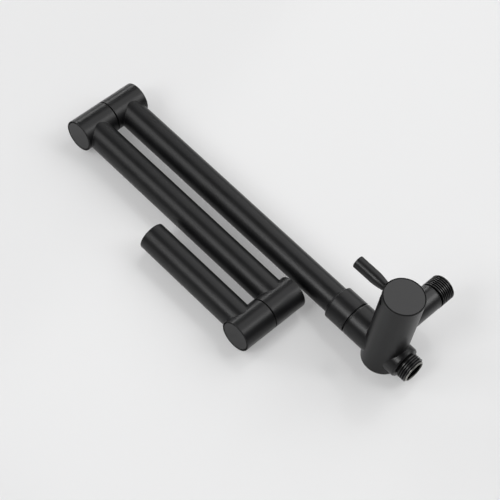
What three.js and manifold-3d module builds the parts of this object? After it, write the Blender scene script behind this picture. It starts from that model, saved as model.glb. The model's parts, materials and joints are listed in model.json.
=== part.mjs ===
// A wall mounted pot filler: an upright valve body with a threaded wall inlet, a hose outlet and
// a lever, and a folding arm of three tubes that turn on hollow swivel joints.
// Millimetres, +Z up. The origin is the centre of the wall inlet's end face, +Y goes into the
// wall, and the folded arm lies towards -X. The joints are modelled as they come apart on a
// bench: hollow spindle, seal rings, slip washer, circlip, housings and caps.
import * as THREE from 'three';
import { mergeVertices } from 'three/addons/utils/BufferGeometryUtils.js';
import Module from 'manifold-3d';

const wasm = await Module();
wasm.setup();

// Fits shared by every sub-assembly
const roundGap = 0.3; // radial gap between a round piece and the bore that holds it
const seatGap = 0.05; // between flat faces that rest on each other
const slideGap = 0.1; // each side of a slip washer or a circlip
const outerSteps = 24; // facets round the outer pieces
const innerSteps = 16; // facets round the pieces and bores inside
const ringSteps = 6; // facets round the section of a seal ring, and round a peg or a small hole
const curveSteps = 4; // steps along a rounded profile
const overcut = 1; // how far a cutter runs past the face it cuts

// Valve body, measured from its axis and from its underside
const bodyDiameter = 32;
const bodyWall = 3.5;
const bodyEdge = 0.4;
const inletReach = 57.3;
const inletHeight = 38.1;
const outletReach = 29.3;
const armHeight = 14.9;
const armPortRadius = 7;
const inletPortRadius = 7.5;
const portDrillRadius = 3;
const portWeb = 3; // between the port drillings and the cartridge wall
const outletBlindEnd = 3.5; // distance from the body axis at which the side bores stop
const inletBlindEnd = 4.8;
const spigotDepth = 3.6; // how far a brazed fitting reaches into the body

// Wall inlet and hose outlet, both with a half inch pipe thread
const threadDiameter = 20.955;
const nippleBore = 15.2;
const nippleSpigotWall = 1.2;
const inletPipeDiameter = 20.7;
const inletThreadLength = 12.8;
const outletThreadLength = 8;
const hexFlats = 23.5;
const hexLength = 4.3;
const hexEdge = 0.6;
const reliefDepth = 1.1;
const threadEdge = 1;

// Cartridge, lever hub and cap, stacked from the cavity floor up to the top of the body
const cavityFloorWall = 1.9;
const sealThickness = 1.5;
const baseThickness = 3;
const discThickness = 2.5;
const driveFlangeThickness = 3.2;
const coverPlate = 2.5;
const coverWall = 1.6;
const coverNeckHeight = 3.4;
const coverNeckWall = 1.7;
const clampNutHeight = 7.4;
const clampSlotWidth = 4;
const clampSlotDepth = 2.5;
const hubFloat = 0.8; // hub above the clamping nut
const hubHeight = 9;
const hubDiameter = 21.2;
const capFloat = 0.4; // cap above the hub
const capThickness = 1.7;
const capSkirt = 1.2;
const capLip = 0.6; // rim of the body or joint housing left outside its cap
const stemDiameter = 9.2;
const squareSide = 6;
const squareLength = 5;
const pocketDepth = 1.5;
const pocketHalfAngle = THREE.MathUtils.degToRad(40);
const pegRadius = 1.2;
const pegLength = 1.2;
const pegCircle = 7;
const screwRadius = 1.5;
const screwHeadRadius = 3;
const screwHeadHeight = 2;
const screwLength = 8;

// Lever, measured from the body axis
const leverReach = 43.4;
const leverDiameter = 10;
const leverNeckDiameter = 6.4;
const leverRootDiameter = 7.4;
const leverTaperLength = 10.7;
const leverSwell = 6.6; // how far along the taper its curve is steepest
const leverEdge = 0.4;
const leverStandOff = 0.9; // thick part clear of the body
const leverSwing = THREE.MathUtils.degToRad(45);
const hubWeb = 1; // between the square socket and the lever's hole

// Folding arm
const firstArmLength = 285.7; // body axis to elbow axis
const secondArmLength = 208.4; // elbow axis to spout joint axis
const spoutLength = 103.2; // spout joint axis to the tip
const tubeDiameter = 23;
const tubeWall = 1.2;
const tubeGap = 10.35; // between the folded tubes
const tipEdge = 0.5;

// Swivel between the valve and the first tube
const collarStep = 2.5; // socket and nut stand this far proud of the tube
const socketLength = 16.9;
const seamWidth = 0.8;
const neckLength = 8.5;
const neckWall = 2.5;
const spigotFlange = 2;
const spigotNose = 16;
const spigotTail = 8;
const spigotGrooveWall = 1.3; // under the seal grooves
const swivelWasherThickness = 1;
const nutLip = 6;
const nutWall = 1.2;

// Elbow and spout joint
const jointStep = 1.5; // joint housing stands this far proud of the tube
const jointEndStep = 1.5; // housing end beyond the side of the tube
const jointWall = 2;
const bearingStep = 1.5; // shoulder between chamber and bearing
const bearingLand = 0.7; // from the shoulder to the tube's port
const jointEdge = 0.5;
const seamEdge = 0.25;
const seamDepth = 0.9; // from the side of the housings down to the slip washer
const jointCapThickness = 2.3;
const jointCapBoss = 2;
const stubWall = 3;
const stubLength = 6;
const spindleWall = 2.7;
const spindleFlange = 2;
const spindleTail = 3;
const clipThickness = 1;
const clipGrip = 1.2; // depth of the circlip in its groove
const clipStand = 1.3; // circlip beyond the spindle
const clipOpening = THREE.MathUtils.degToRad(40);

// Seal rings
const sealSection = 1.7;
const sealGrooveWidth = 2;
const sealPitch = 3.2;
const sealInset = 1.6; // first groove from the mouth of its bore

// Aerator, measured inwards from the tip of the spout
const aeratorInset = 1;
const aeratorLength = 8;
const aeratorWasherThickness = 1.5;
const aeratorShoulder = 1.5;
const aeratorRingWall = 1.4;
const aeratorHoleRadius = 1.5;
const aeratorHoles = 6;
const aeratorHoleCircle = 5;

// Radii and levels that follow from the sizes above
const bodyRadius = bodyDiameter / 2;
const cavityRadius = bodyRadius - bodyWall;
const cavityFloor = inletHeight + inletPortRadius + cavityFloorWall;
const sealTop = cavityFloor + sealThickness;
const baseTop = sealTop + baseThickness;
const fixedDiscTop = baseTop + discThickness;
const turningDiscTop = fixedDiscTop + discThickness;
const driveFlangeTop = turningDiscTop + driveFlangeThickness;
const plateUnderside = driveFlangeTop + roundGap;
const plateTop = plateUnderside + coverPlate;
const clampNutTop = plateTop + clampNutHeight;
const hubBase = clampNutTop + hubFloat;
const leverHeight = hubBase + hubHeight / 2;
const capSeat = hubBase + hubHeight + capFloat;
const bodyHeight = capSeat + capThickness;
const capSeatRadius = bodyRadius - capLip;
const portCircle = cavityRadius - portDrillRadius - portWeb;
const cartridgeRadius = cavityRadius - roundGap;
const coverBore = cartridgeRadius - coverWall;
const discRadius = coverBore - roundGap;
const stemRadius = stemDiameter / 2;
const threadRadius = threadDiameter / 2;
const spigotRadius = nippleBore / 2 + nippleSpigotWall;
const spigotSeat = bodyRadius - spigotDepth;
const tubeRadius = tubeDiameter / 2;
const tubeBore = tubeRadius - tubeWall;
const tubePitch = tubeDiameter + tubeGap;
const jointRadius = tubeRadius + jointStep;
const halfSeam = seamWidth / 2;
const portAt = tubePitch / 2; // tube axis from the middle of the seam
const halfLength = portAt + tubeRadius + jointEndStep;
const chamberRadius = jointRadius - jointWall;
const bearingRadius = chamberRadius - bearingStep;
const stubRadius = tubeBore - roundGap;
const jointPortRadius = stubRadius - stubWall;
const bearingEnd = portAt - jointPortRadius - bearingLand;
const jointCapSeat = halfLength - jointCapThickness;
const jointCapSeatRadius = jointRadius - capLip;
const spindleRadius = bearingRadius - roundGap;
const spindleBore = spindleRadius - spindleWall;

// Distances along the first arm from the body axis
const collarRadius = tubeRadius + collarStep;
const nutBore = collarRadius - nutWall;
const neckRadius = nutBore - roundGap;
const socketBore = neckRadius - neckWall;
const socketEnd = bodyRadius + socketLength;
const nutStart = socketEnd + seamWidth;
const neckEnd = nutStart + neckLength;
const flangeStart = neckEnd + 2 * slideGap;
const flangeEnd = flangeStart + spigotFlange;
const lipStart = flangeEnd + swivelWasherThickness + 2 * slideGap;
const nutEnd = lipStart + nutLip;
const noseRadius = socketBore - roundGap;
const noseStart = flangeStart - spigotNose;

// Sides of the body, as angles about its axis
const hoseSide = 0;
const wallSide = Math.PI / 2;
const armSide = Math.PI;

const coated = new THREE.MeshStandardMaterial({ color: 0x2b2b2c, roughness: 0.5, metalness: 0.2 });
const brass = new THREE.MeshStandardMaterial({ color: 0xb08d4a, roughness: 0.35, metalness: 1 });
const steel = new THREE.MeshStandardMaterial({ color: 0xa8abad, roughness: 0.3, metalness: 1 });
const rubber = new THREE.MeshStandardMaterial({ color: 0x151515, roughness: 0.85, metalness: 0 });
const slipRing = new THREE.MeshStandardMaterial({ color: 0x101011, roughness: 0.6, metalness: 0 });
const plastic = new THREE.MeshStandardMaterial({ color: 0xd8d9d6, roughness: 0.5, metalness: 0 });
const ceramic = new THREE.MeshStandardMaterial({ color: 0xf0efe9, roughness: 0.15, metalness: 0 });

// A closed geometry becomes a solid that can be cut and joined
function toSolid(geometry) {
  geometry.deleteAttribute('normal');
  geometry.deleteAttribute('uv');
  const merged = mergeVertices(geometry, 1e-4);
  const corners = merged.index.array;
  const triangles = [];
  for (let i = 0; i < corners.length; i += 3) {
    const [a, b, c] = corners.slice(i, i + 3);
    if (a !== b && b !== c && c !== a) {
      triangles.push(a, b, c);
    }
  }
  return new wasm.Manifold(new wasm.Mesh({
    numProp: 3,
    vertProperties: new Float32Array(merged.attributes.position.array),
    triVerts: new Uint32Array(triangles),
  }));
}

// A profile of [radius, height] points turned about +Z. It starts and ends on the axis, or it
// is the outline of a ring and closes on itself.
function turned(profile, steps = outerSteps) {
  const points = profile.map(([radius, height]) => new THREE.Vector2(radius, height));
  if (THREE.ShapeUtils.area(points) < 0) {
    points.reverse();
  }
  if (points[0].x > 0) {
    points.push(points[0].clone());
  }
  return new THREE.LatheGeometry(points, steps).rotateX(Math.PI / 2);
}

function rod(radius, from, to, steps) {
  return turned([[0, from], [radius, from], [radius, to], [0, to]], steps);
}

function sleeve(outer, inner, from, to, steps) {
  return turned([[inner, from], [outer, from], [outer, to], [inner, to]], steps);
}

// Turn a geometry made along +Z so that it points out of one side of the body
function outwards(geometry, side) {
  return geometry.rotateY(Math.PI / 2).rotateZ(side);
}

// A flat arc between two radii, extruded upwards from a level
function arcBlock(inner, outer, middle, halfAngle, from, height) {
  const outline = new THREE.Shape();
  outline.absarc(0, 0, outer, middle - halfAngle, middle + halfAngle, false);
  outline.absarc(0, 0, inner, middle + halfAngle, middle - halfAngle, true);
  const curveSegments = Math.ceil((innerSteps * halfAngle) / Math.PI);
  const options = { depth: height, bevelEnabled: false, curveSegments };
  return new THREE.ExtrudeGeometry(outline, options).translate(0, 0, from);
}

function cut(solid, ...geometries) {
  return geometries.reduce((rest, geometry) => rest.subtract(toSolid(geometry)), solid);
}

function join(solid, ...geometries) {
  return geometries.reduce((sum, geometry) => sum.add(toSolid(geometry)), solid);
}

function piece(name, shape, material) {
  const solid = shape.isBufferGeometry ? toSolid(shape) : shape;
  const made = solid.getMesh();
  const geometry = new THREE.BufferGeometry();
  geometry.setAttribute('position', new THREE.BufferAttribute(made.vertProperties, 3));
  geometry.setIndex(new THREE.BufferAttribute(made.triVerts, 1));
  geometry.computeVertexNormals();
  const mesh = new THREE.Mesh(geometry, material);
  mesh.name = name;
  return mesh;
}

function sealRing(name, grooveFloor, middle) {
  const radius = grooveFloor + slideGap + sealSection / 2;
  const ring = new THREE.TorusGeometry(radius, sealSection / 2, ringSteps, innerSteps);
  return piece(name, ring.translate(0, 0, middle), rubber);
}

// The outline of a shaft with a groove cut in it, as points that run up the shaft
function groove(shaft, floor, from, width) {
  return [[shaft, from], [floor, from], [floor, from + width], [shaft, from + width]];
}

// ---- Valve ----

// A bore in from the side of the body, with a counterbore for the fitting that is brazed there
function sidePort(side, height, radius, blindEnd) {
  const outside = bodyRadius + overcut;
  const seatRadius = spigotRadius + roundGap;
  const bore = turned([
    [0, blindEnd],
    [radius, blindEnd],
    [radius, spigotSeat - seatGap],
    [seatRadius, spigotSeat - seatGap],
    [seatRadius, outside],
    [0, outside],
  ], innerSteps);
  return outwards(bore, side).translate(0, 0, height);
}

const portPlaces = [
  [-portCircle, 0],
  [portCircle, 0],
  [0, portCircle],
];

function portHoles(from, to) {
  return portPlaces.map(([x, y]) => rod(portDrillRadius, from, to, innerSteps).translate(x, y, 0));
}

// The opening that the lever's neck swings through, with round ends
function leverSlot() {
  const half = leverNeckDiameter / 2 + roundGap + slideGap;
  const inside = cavityRadius - overcut;
  const outside = bodyRadius + overcut;
  const ends = [-leverSwing, leverSwing].map((angle) => {
    const end = rod(half, inside, outside, innerSteps);
    return outwards(end, armSide + angle).translate(0, 0, leverHeight);
  });
  return [arcBlock(inside, outside, armSide, leverSwing, leverHeight - half, 2 * half), ...ends];
}

function valveBody() {
  const blank = toSolid(turned([
    [0, 0],
    [bodyRadius - bodyEdge, 0],
    [bodyRadius, bodyEdge],
    [bodyRadius, bodyHeight - bodyEdge],
    [bodyRadius - bodyEdge, bodyHeight],
    [0, bodyHeight],
  ]));
  const cavity = rod(cavityRadius, cavityFloor, capSeat + overcut, innerSteps);
  const capSeating = rod(capSeatRadius, capSeat, bodyHeight + overcut);
  const drillFeet = [armHeight, armHeight, inletHeight];
  const drillings = portPlaces.map(([x, y], i) => rod(
    portDrillRadius,
    drillFeet[i],
    cavityFloor + overcut,
    innerSteps,
  ).translate(x, y, 0));
  return cut(
    blank,
    cavity,
    capSeating,
    ...drillings,
    sidePort(armSide, armHeight, armPortRadius, outletBlindEnd),
    sidePort(hoseSide, armHeight, armPortRadius, outletBlindEnd),
    sidePort(wallSide, inletHeight, inletPortRadius, inletBlindEnd),
    ...leverSlot(),
  );
}

function topCap() {
  const rim = capSeatRadius - roundGap;
  const skirtTop = capSeat + seatGap;
  const skirtBottom = capSeat - capSkirt;
  const skirtBore = hubDiameter / 2 + roundGap + slideGap;
  return turned([
    [0, skirtTop],
    [skirtBore, skirtTop],
    [skirtBore, skirtBottom],
    [cartridgeRadius, skirtBottom],
    [cartridgeRadius, skirtTop],
    [rim, skirtTop],
    [rim, bodyHeight],
    [0, bodyHeight],
  ]);
}

// The surface of the body, a little enlarged, as a cutter for a fitting made along +Z
function bodySaddle() {
  return rod(bodyRadius + roundGap, -bodyDiameter, bodyDiameter).rotateY(Math.PI / 2);
}

// The part of a fitting that reaches into the body
function bodySpigot(bore) {
  return sleeve(spigotRadius, bore, spigotSeat, bodyRadius + 2 * roundGap, innerSteps);
}

function threadedEnd(from, to) {
  return [
    [threadRadius, from],
    [threadRadius, to - threadEdge],
    [threadRadius - threadEdge, to],
    [0, to],
  ];
}

function inletNipple() {
  const pipe = inletPipeDiameter / 2;
  const threadStart = inletReach - inletThreadLength;
  const blank = toSolid(turned([
    [0, bodyRadius / 2],
    [pipe, bodyRadius / 2],
    [pipe, threadStart],
    ...threadedEnd(threadStart, inletReach),
  ]));
  const bore = rod(nippleBore / 2, 0, inletReach + overcut);
  return cut(join(cut(blank, bodySaddle()), bodySpigot(nippleBore / 2)), bore);
}

function outletNipple() {
  const threadStart = outletReach - outletThreadLength;
  const hexEnd = bodyRadius + hexLength;
  const hexCorner = hexFlats / 2 / Math.cos(Math.PI / 6);
  const hex = toSolid(rod(hexCorner, bodyRadius / 2, hexEnd, 6));
  const chamfer = toSolid(turned([
    [0, 0],
    [hexCorner + overcut, 0],
    [hexCorner + overcut, hexEnd - hexEdge - overcut],
    [hexFlats / 2 - 2 * hexEdge, hexEnd],
    [0, hexEnd],
  ]));
  const thread = turned([
    [0, hexEnd - overcut],
    [threadRadius - reliefDepth, hexEnd - overcut],
    [threadRadius - reliefDepth, threadStart],
    ...threadedEnd(threadStart, outletReach),
  ]);
  const shoulder = cut(hex.intersect(chamfer), bodySaddle());
  const bore = rod(nippleBore / 2, 0, outletReach + overcut);
  return cut(join(shoulder, thread, bodySpigot(nippleBore / 2)), bore);
}

function cartridgePieces() {
  const baseSeal = cut(toSolid(rod(cartridgeRadius, cavityFloor + seatGap, sealTop, innerSteps)),
    ...portHoles(cavityFloor, sealTop + overcut));
  const base = cut(toSolid(rod(cartridgeRadius, sealTop + seatGap, baseTop, innerSteps)),
    ...portHoles(sealTop, baseTop + overcut));
  const fixedDisc = cut(toSolid(rod(discRadius, baseTop + seatGap, fixedDiscTop, innerSteps)),
    ...portHoles(baseTop, fixedDiscTop + overcut));
  const stemHole = stemRadius + roundGap;
  const neck = stemHole + coverNeckWall;
  const cover = turned([
    [coverBore, baseTop + seatGap],
    [cartridgeRadius, baseTop + seatGap],
    [cartridgeRadius, plateTop],
    [neck, plateTop],
    [neck, plateTop + coverNeckHeight],
    [stemHole, plateTop + coverNeckHeight],
    [stemHole, plateUnderside],
    [coverBore, plateUnderside],
  ], innerSteps);
  const nutRing = sleeve(cartridgeRadius, neck + roundGap, plateTop + seatGap, clampNutTop, innerSteps);
  const spannerSlot = new THREE.BoxGeometry(bodyDiameter, clampSlotWidth, clampSlotDepth)
    .translate(0, 0, clampNutTop - clampSlotDepth / 2 + seatGap);
  return [
    piece('base_seal', baseSeal, rubber),
    piece('cartridge_base', base, plastic),
    piece('fixed_disc', fixedDisc, ceramic),
    piece('cartridge_cover', cover, plastic),
    piece('cartridge_nut', cut(toSolid(nutRing), spannerSlot), brass),
  ];
}

// ---- Lever and what turns with it ----

function pegHoles(radius, from, to) {
  return [-1, 1].map((side) => rod(radius, from, to, ringSteps)
    .translate(side * pegCircle * Math.SQRT1_2, -pegCircle * Math.SQRT1_2, 0));
}

// The pocket under the disc always covers the inlet port, and reaches one outlet port when the
// lever is at either end of its swing
function turningDisc() {
  const blank = toSolid(rod(discRadius, fixedDiscTop + seatGap, turningDiscTop, innerSteps));
  const pocket = arcBlock(
    portCircle - portDrillRadius,
    portCircle + portDrillRadius,
    Math.PI / 2,
    pocketHalfAngle,
    fixedDiscTop,
    pocketDepth,
  );
  const holeFloor = turningDiscTop - pegLength - roundGap;
  return cut(blank, pocket, ...pegHoles(pegRadius + roundGap, holeFloor, turningDiscTop + overcut));
}

const stemGrooveFloor = stemRadius - sealSection - slideGap;
const stemGrooveStart = plateUnderside + roundGap;

function valveSpindle() {
  const flange = discRadius - roundGap;
  const stem = toSolid(turned([
    [0, turningDiscTop + seatGap],
    [flange, turningDiscTop + seatGap],
    [flange, driveFlangeTop],
    [stemRadius, driveFlangeTop],
    ...groove(stemRadius, stemGrooveFloor, stemGrooveStart, sealGrooveWidth),
    [stemRadius, hubBase - slideGap],
    [0, hubBase - slideGap],
  ], innerSteps));
  const square = new THREE.BoxGeometry(squareSide, squareSide, squareLength + overcut)
    .translate(0, 0, hubBase - slideGap + (squareLength - overcut) / 2);
  const squareTop = hubBase + squareLength;
  const tapped = rod(screwRadius + roundGap, hubBase - screwLength / 2, squareTop + overcut, innerSteps);
  const pegs = pegHoles(pegRadius, turningDiscTop - pegLength, turningDiscTop + overcut);
  return cut(join(stem, square, ...pegs), tapped);
}

const socketDepth = squareLength + roundGap;
const neckInnerEnd = (squareSide / 2 + roundGap) * Math.SQRT2 + hubWeb;

function leverHub() {
  const radius = hubDiameter / 2;
  const blank = toSolid(rod(radius, hubBase, hubBase + hubHeight));
  const side = squareSide + 2 * roundGap;
  const socket = new THREE.BoxGeometry(side, side, socketDepth + overcut)
    .translate(0, 0, hubBase + (socketDepth - overcut) / 2);
  const neckRod = rod(leverNeckDiameter / 2 + roundGap, neckInnerEnd, radius + overcut, innerSteps);
  const neckHole = outwards(neckRod, armSide).translate(0, 0, leverHeight);
  const top = hubBase + hubHeight;
  const screwHole = turned([
    [0, hubBase],
    [screwRadius + roundGap, hubBase],
    [screwRadius + roundGap, top - screwHeadHeight - slideGap],
    [screwHeadRadius + roundGap, top - screwHeadHeight - slideGap],
    [screwHeadRadius + roundGap, top + overcut],
    [0, top + overcut],
  ], innerSteps);
  return cut(blank, socket, neckHole, screwHole);
}

function hubScrew() {
  const headTop = hubBase + hubHeight - seatGap;
  const headBase = headTop - screwHeadHeight;
  return turned([
    [0, headBase - screwLength],
    [screwRadius, headBase - screwLength],
    [screwRadius, headBase],
    [screwHeadRadius, headBase],
    [screwHeadRadius, headTop],
    [0, headTop],
  ], innerSteps);
}

function leverRod() {
  const neck = leverNeckDiameter / 2;
  const grip = leverDiameter / 2;
  const taperStart = bodyRadius + leverStandOff;
  const taperEnd = taperStart + leverTaperLength;
  const swell = new THREE.QuadraticBezierCurve(
    new THREE.Vector2(leverRootDiameter / 2, taperStart),
    new THREE.Vector2(grip, taperStart + leverSwell),
    new THREE.Vector2(grip, taperEnd),
  );
  return outwards(turned([
    [0, neckInnerEnd + roundGap],
    [neck, neckInnerEnd + roundGap],
    [neck, taperStart],
    ...swell.getPoints(curveSteps).map((point) => [point.x, point.y]),
    [grip, leverReach - leverEdge],
    [grip - leverEdge, leverReach],
    [0, leverReach],
  ]), armSide).translate(0, 0, leverHeight);
}

// ---- Swivel between the valve and the first tube, made along +Z from the body axis ----

function armSocket() {
  const waterBore = armPortRadius;
  const blank = toSolid(turned([
    [0, bodyRadius / 2],
    [collarRadius, bodyRadius / 2],
    [collarRadius, socketEnd - seamEdge],
    [collarRadius - seamEdge, socketEnd],
    [neckRadius, socketEnd],
    [neckRadius, neckEnd],
    [0, neckEnd],
  ]));
  const bore = turned([
    [0, 0],
    [waterBore, 0],
    [waterBore, noseStart - roundGap],
    [socketBore, noseStart - roundGap],
    [socketBore, neckEnd + overcut],
    [0, neckEnd + overcut],
  ]);
  return cut(join(cut(blank, bodySaddle()), bodySpigot(waterBore)), bore);
}

// The nut's far end is rounded down to the tube
function armNut() {
  const lipBore = tubeRadius + roundGap;
  const roundness = collarRadius - lipBore;
  const shoulder = [];
  for (let i = 0; i < curveSteps; i += 1) {
    const angle = (Math.PI / 2) * (i / curveSteps);
    shoulder.push([lipBore + roundness * Math.cos(angle), nutEnd - roundness * (1 - Math.sin(angle))]);
  }
  return turned([
    [nutBore, nutStart],
    [collarRadius - seamEdge, nutStart],
    [collarRadius, nutStart + seamEdge],
    ...shoulder,
    [lipBore, nutEnd],
    [lipBore, lipStart],
    [nutBore, lipStart],
  ]);
}

const noseGrooveFloor = noseRadius - sealSection;
const noseGrooves = [0, sealPitch].map((along) => noseStart + sealInset + along);

function swivelSpigot() {
  const flange = neckRadius;
  const tail = tubeBore - roundGap;
  const bore = noseGrooveFloor - spigotGrooveWall;
  return turned([
    [bore, noseStart],
    [noseRadius, noseStart],
    ...noseGrooves.flatMap((start) => groove(noseRadius, noseGrooveFloor, start, sealGrooveWidth)),
    [noseRadius, flangeStart],
    [flange, flangeStart],
    [flange, flangeEnd],
    [tail, flangeEnd],
    [tail, flangeEnd + spigotTail],
    [bore, flangeEnd + spigotTail],
  ], innerSteps);
}

function swivelPieces() {
  const seals = noseGrooves.map((start) => start + sealGrooveWidth / 2);
  const washer = sleeve(
    neckRadius,
    tubeRadius + roundGap,
    flangeEnd + slideGap,
    flangeEnd + slideGap + swivelWasherThickness,
  );
  return [
    piece('arm_socket', armSocket(), coated),
    piece('arm_nut', armNut(), coated),
    piece('swivel_spigot', swivelSpigot(), brass),
    sealRing('swivel_oring_inner', noseGrooveFloor, seals[0]),
    sealRing('swivel_oring_outer', noseGrooveFloor, seals[1]),
    piece('swivel_washer', washer, slipRing),
  ];
}

// ---- Joint halves, made from the middle of the seam outwards along +Z, tube towards +X ----

function jointHousing() {
  const outside = toSolid(turned([
    [0, halfSeam],
    [jointRadius - seamEdge, halfSeam],
    [jointRadius, halfSeam + seamEdge],
    [jointRadius, halfLength - jointEdge],
    [jointRadius - jointEdge, halfLength],
    [0, halfLength],
  ]));
  const inside = turned([
    [0, 0],
    [bearingRadius, 0],
    [bearingRadius, bearingEnd],
    [chamberRadius, bearingEnd],
    [chamberRadius, jointCapSeat + overcut],
    [0, jointCapSeat + overcut],
  ], innerSteps);
  const capSeating = rod(jointCapSeatRadius, jointCapSeat, halfLength + overcut);
  const stubEnd = jointRadius + stubLength;
  const stub = rod(stubRadius, chamberRadius, stubEnd, innerSteps).rotateY(Math.PI / 2);
  const port = rod(jointPortRadius, 0, stubEnd + overcut, innerSteps).rotateY(Math.PI / 2);
  const raised = join(outside, stub.translate(0, 0, portAt));
  return cut(raised, inside, capSeating, port.translate(0, 0, portAt));
}

function jointCap() {
  const boss = chamberRadius - roundGap;
  const rim = jointCapSeatRadius - roundGap;
  return turned([
    [0, jointCapSeat - jointCapBoss],
    [boss, jointCapSeat - jointCapBoss],
    [boss, jointCapSeat + seatGap],
    [rim, jointCapSeat + seatGap],
    [rim, halfLength],
    [0, halfLength],
  ]);
}

const spindleGrooveFloor = spindleRadius - sealSection;
const spindleGrooves = [0, sealPitch].map((along) => halfSeam + sealInset + along);
const clipStart = bearingEnd + slideGap;
const clipFloor = spindleRadius - clipGrip;

// The hollow pin carries the water across the seam. Its flange sits in the front half, and the
// rear half turns on it between the slip washer and the circlip.
function jointSpindle() {
  const flange = chamberRadius - roundGap - slideGap;
  const flangeSeat = -bearingEnd - seatGap;
  const end = clipStart + clipThickness + spindleTail;
  return turned([
    [spindleBore, flangeSeat - spindleFlange],
    [flange, flangeSeat - spindleFlange],
    [flange, flangeSeat],
    [spindleRadius, flangeSeat],
    ...spindleGrooves.flatMap((start) => groove(spindleRadius, spindleGrooveFloor, start, sealGrooveWidth)),
    ...groove(spindleRadius, clipFloor, clipStart, clipThickness + 2 * slideGap),
    [spindleRadius, end],
    [spindleBore, end],
  ], innerSteps);
}

function circlip() {
  const half = Math.PI - clipOpening / 2;
  const outer = spindleRadius + clipStand;
  const inner = clipFloor + roundGap;
  return arcBlock(inner, outer, Math.PI, half, clipStart + slideGap, clipThickness);
}

function jointWasher() {
  return sleeve(jointRadius - seamDepth, bearingRadius, slideGap - halfSeam, halfSeam - slideGap, innerSteps);
}

// One swivel joint about the world's Y axis. Its local +Z is the rear, towards the wall.
function swivelJoint(name, rearTubeTurn, frontTubeTurn) {
  const joint = new THREE.Group();
  joint.rotation.x = -Math.PI / 2;
  const rear = new THREE.Group();
  rear.rotation.z = rearTubeTurn;
  rear.add(
    piece(`${name}_rear_housing`, jointHousing(), coated),
    piece(`${name}_rear_cap`, jointCap(), coated),
  );
  const front = new THREE.Group();
  front.rotation.set(Math.PI, 0, frontTubeTurn, 'ZXY');
  front.add(
    piece(`${name}_front_housing`, jointHousing(), coated),
    piece(`${name}_front_cap`, jointCap(), coated),
  );
  const seals = spindleGrooves.map((start) => start + sealGrooveWidth / 2);
  joint.add(
    rear,
    front,
    piece(`${name}_spindle`, jointSpindle(), brass),
    sealRing(`${name}_oring_inner`, spindleGrooveFloor, seals[0]),
    sealRing(`${name}_oring_outer`, spindleGrooveFloor, seals[1]),
    piece(`${name}_circlip`, circlip(), steel),
    piece(`${name}_washer`, jointWasher(), slipRing),
  );
  return joint;
}

// ---- Tubes, made along +X from the joint axis ----

function jointSaddle(along) {
  return rod(jointRadius + roundGap, -tubeDiameter, tubeDiameter)
    .rotateX(Math.PI / 2)
    .translate(along, 0, 0);
}

function tube(length, tip = [[tubeRadius, length]]) {
  const outline = [[tubeBore, 0], [tubeRadius, 0], ...tip, [tubeBore, length]];
  return toSolid(turned(outline).rotateY(Math.PI / 2));
}

// ---- Aerator, made along +X from the spout joint ----

function aeratorPieces() {
  const faceAt = spoutLength - aeratorInset;
  const washerAt = faceAt - aeratorLength;
  const shoulderAt = washerAt - aeratorWasherThickness;
  const ringRadius = tubeBore - roundGap;
  const ringBore = ringRadius - aeratorRingWall;
  const shoulderBore = ringBore - aeratorShoulder;
  const ring = turned([
    [shoulderBore, shoulderAt - aeratorShoulder],
    [ringRadius, shoulderAt - aeratorShoulder],
    [ringRadius, faceAt + slideGap],
    [ringBore, faceAt + slideGap],
    [ringBore, shoulderAt],
    [shoulderBore, shoulderAt],
  ], innerSteps);
  const washer = sleeve(
    ringBore - roundGap,
    shoulderBore + slideGap,
    shoulderAt + seatGap,
    washerAt - seatGap,
    innerSteps,
  );
  const insertRadius = ringBore - roundGap;
  const holes = Array.from({ length: aeratorHoles }, (_, i) => {
    const angle = (i / aeratorHoles) * 2 * Math.PI;
    return rod(aeratorHoleRadius, washerAt - overcut, faceAt + overcut, ringSteps)
      .translate(Math.cos(angle) * aeratorHoleCircle, Math.sin(angle) * aeratorHoleCircle, 0);
  });
  const insert = cut(toSolid(rod(insertRadius, washerAt, faceAt, innerSteps)),
    rod(aeratorHoleRadius, washerAt - overcut, faceAt + overcut, ringSteps), ...holes);
  const line = new THREE.Group();
  line.rotation.y = Math.PI / 2;
  line.add(
    piece('aerator_ring', ring, brass),
    piece('aerator_washer', washer, rubber),
    piece('aerator_insert', insert, plastic),
  );
  return line;
}

// ---- Assembly ----

const valve = new THREE.Group();
valve.position.set(0, -inletReach, -inletHeight);

// What is fitted to one side of the body, at a height
function sideFitting(side, height, ...pieces) {
  const fitting = new THREE.Group();
  fitting.rotation.set(0, Math.PI / 2, side, 'ZYX');
  fitting.position.z = height;
  fitting.add(...pieces);
  return fitting;
}

const stemSealAt = stemGrooveStart + sealGrooveWidth / 2;
valve.add(
  piece('valve_body', valveBody(), coated),
  piece('top_cap', topCap(), coated),
  sideFitting(wallSide, inletHeight, piece('inlet_nipple', inletNipple(), coated)),
  sideFitting(hoseSide, armHeight, piece('outlet_nipple', outletNipple(), coated)),
  sideFitting(armSide, armHeight, ...swivelPieces()),
  ...cartridgePieces(),
  piece('turning_disc', turningDisc(), ceramic),
  piece('spindle', valveSpindle(), brass),
  sealRing('stem_oring', stemGrooveFloor, stemSealAt),
  piece('lever_hub', leverHub(), brass),
  piece('hub_screw', hubScrew(), steel),
  piece('lever', leverRod(), coated),
);

// The arm's parts are placed from the elbow axis and the spout joint axis
const arm = new THREE.Group();
arm.position.z = armHeight;

const firstTubeStart = flangeEnd + seatGap;
const firstTube = piece(
  'first_arm_tube',
  cut(tube(firstArmLength - firstTubeStart), jointSaddle(0)),
  coated,
);
firstTube.position.x = -firstArmLength;

const elbow = swivelJoint('elbow', 0, 0);
elbow.position.set(-firstArmLength, -portAt, 0);

const secondTube = piece(
  'second_arm_tube',
  cut(tube(secondArmLength), jointSaddle(0), jointSaddle(secondArmLength)),
  coated,
);
secondTube.position.set(-firstArmLength, -tubePitch, 0);

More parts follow.
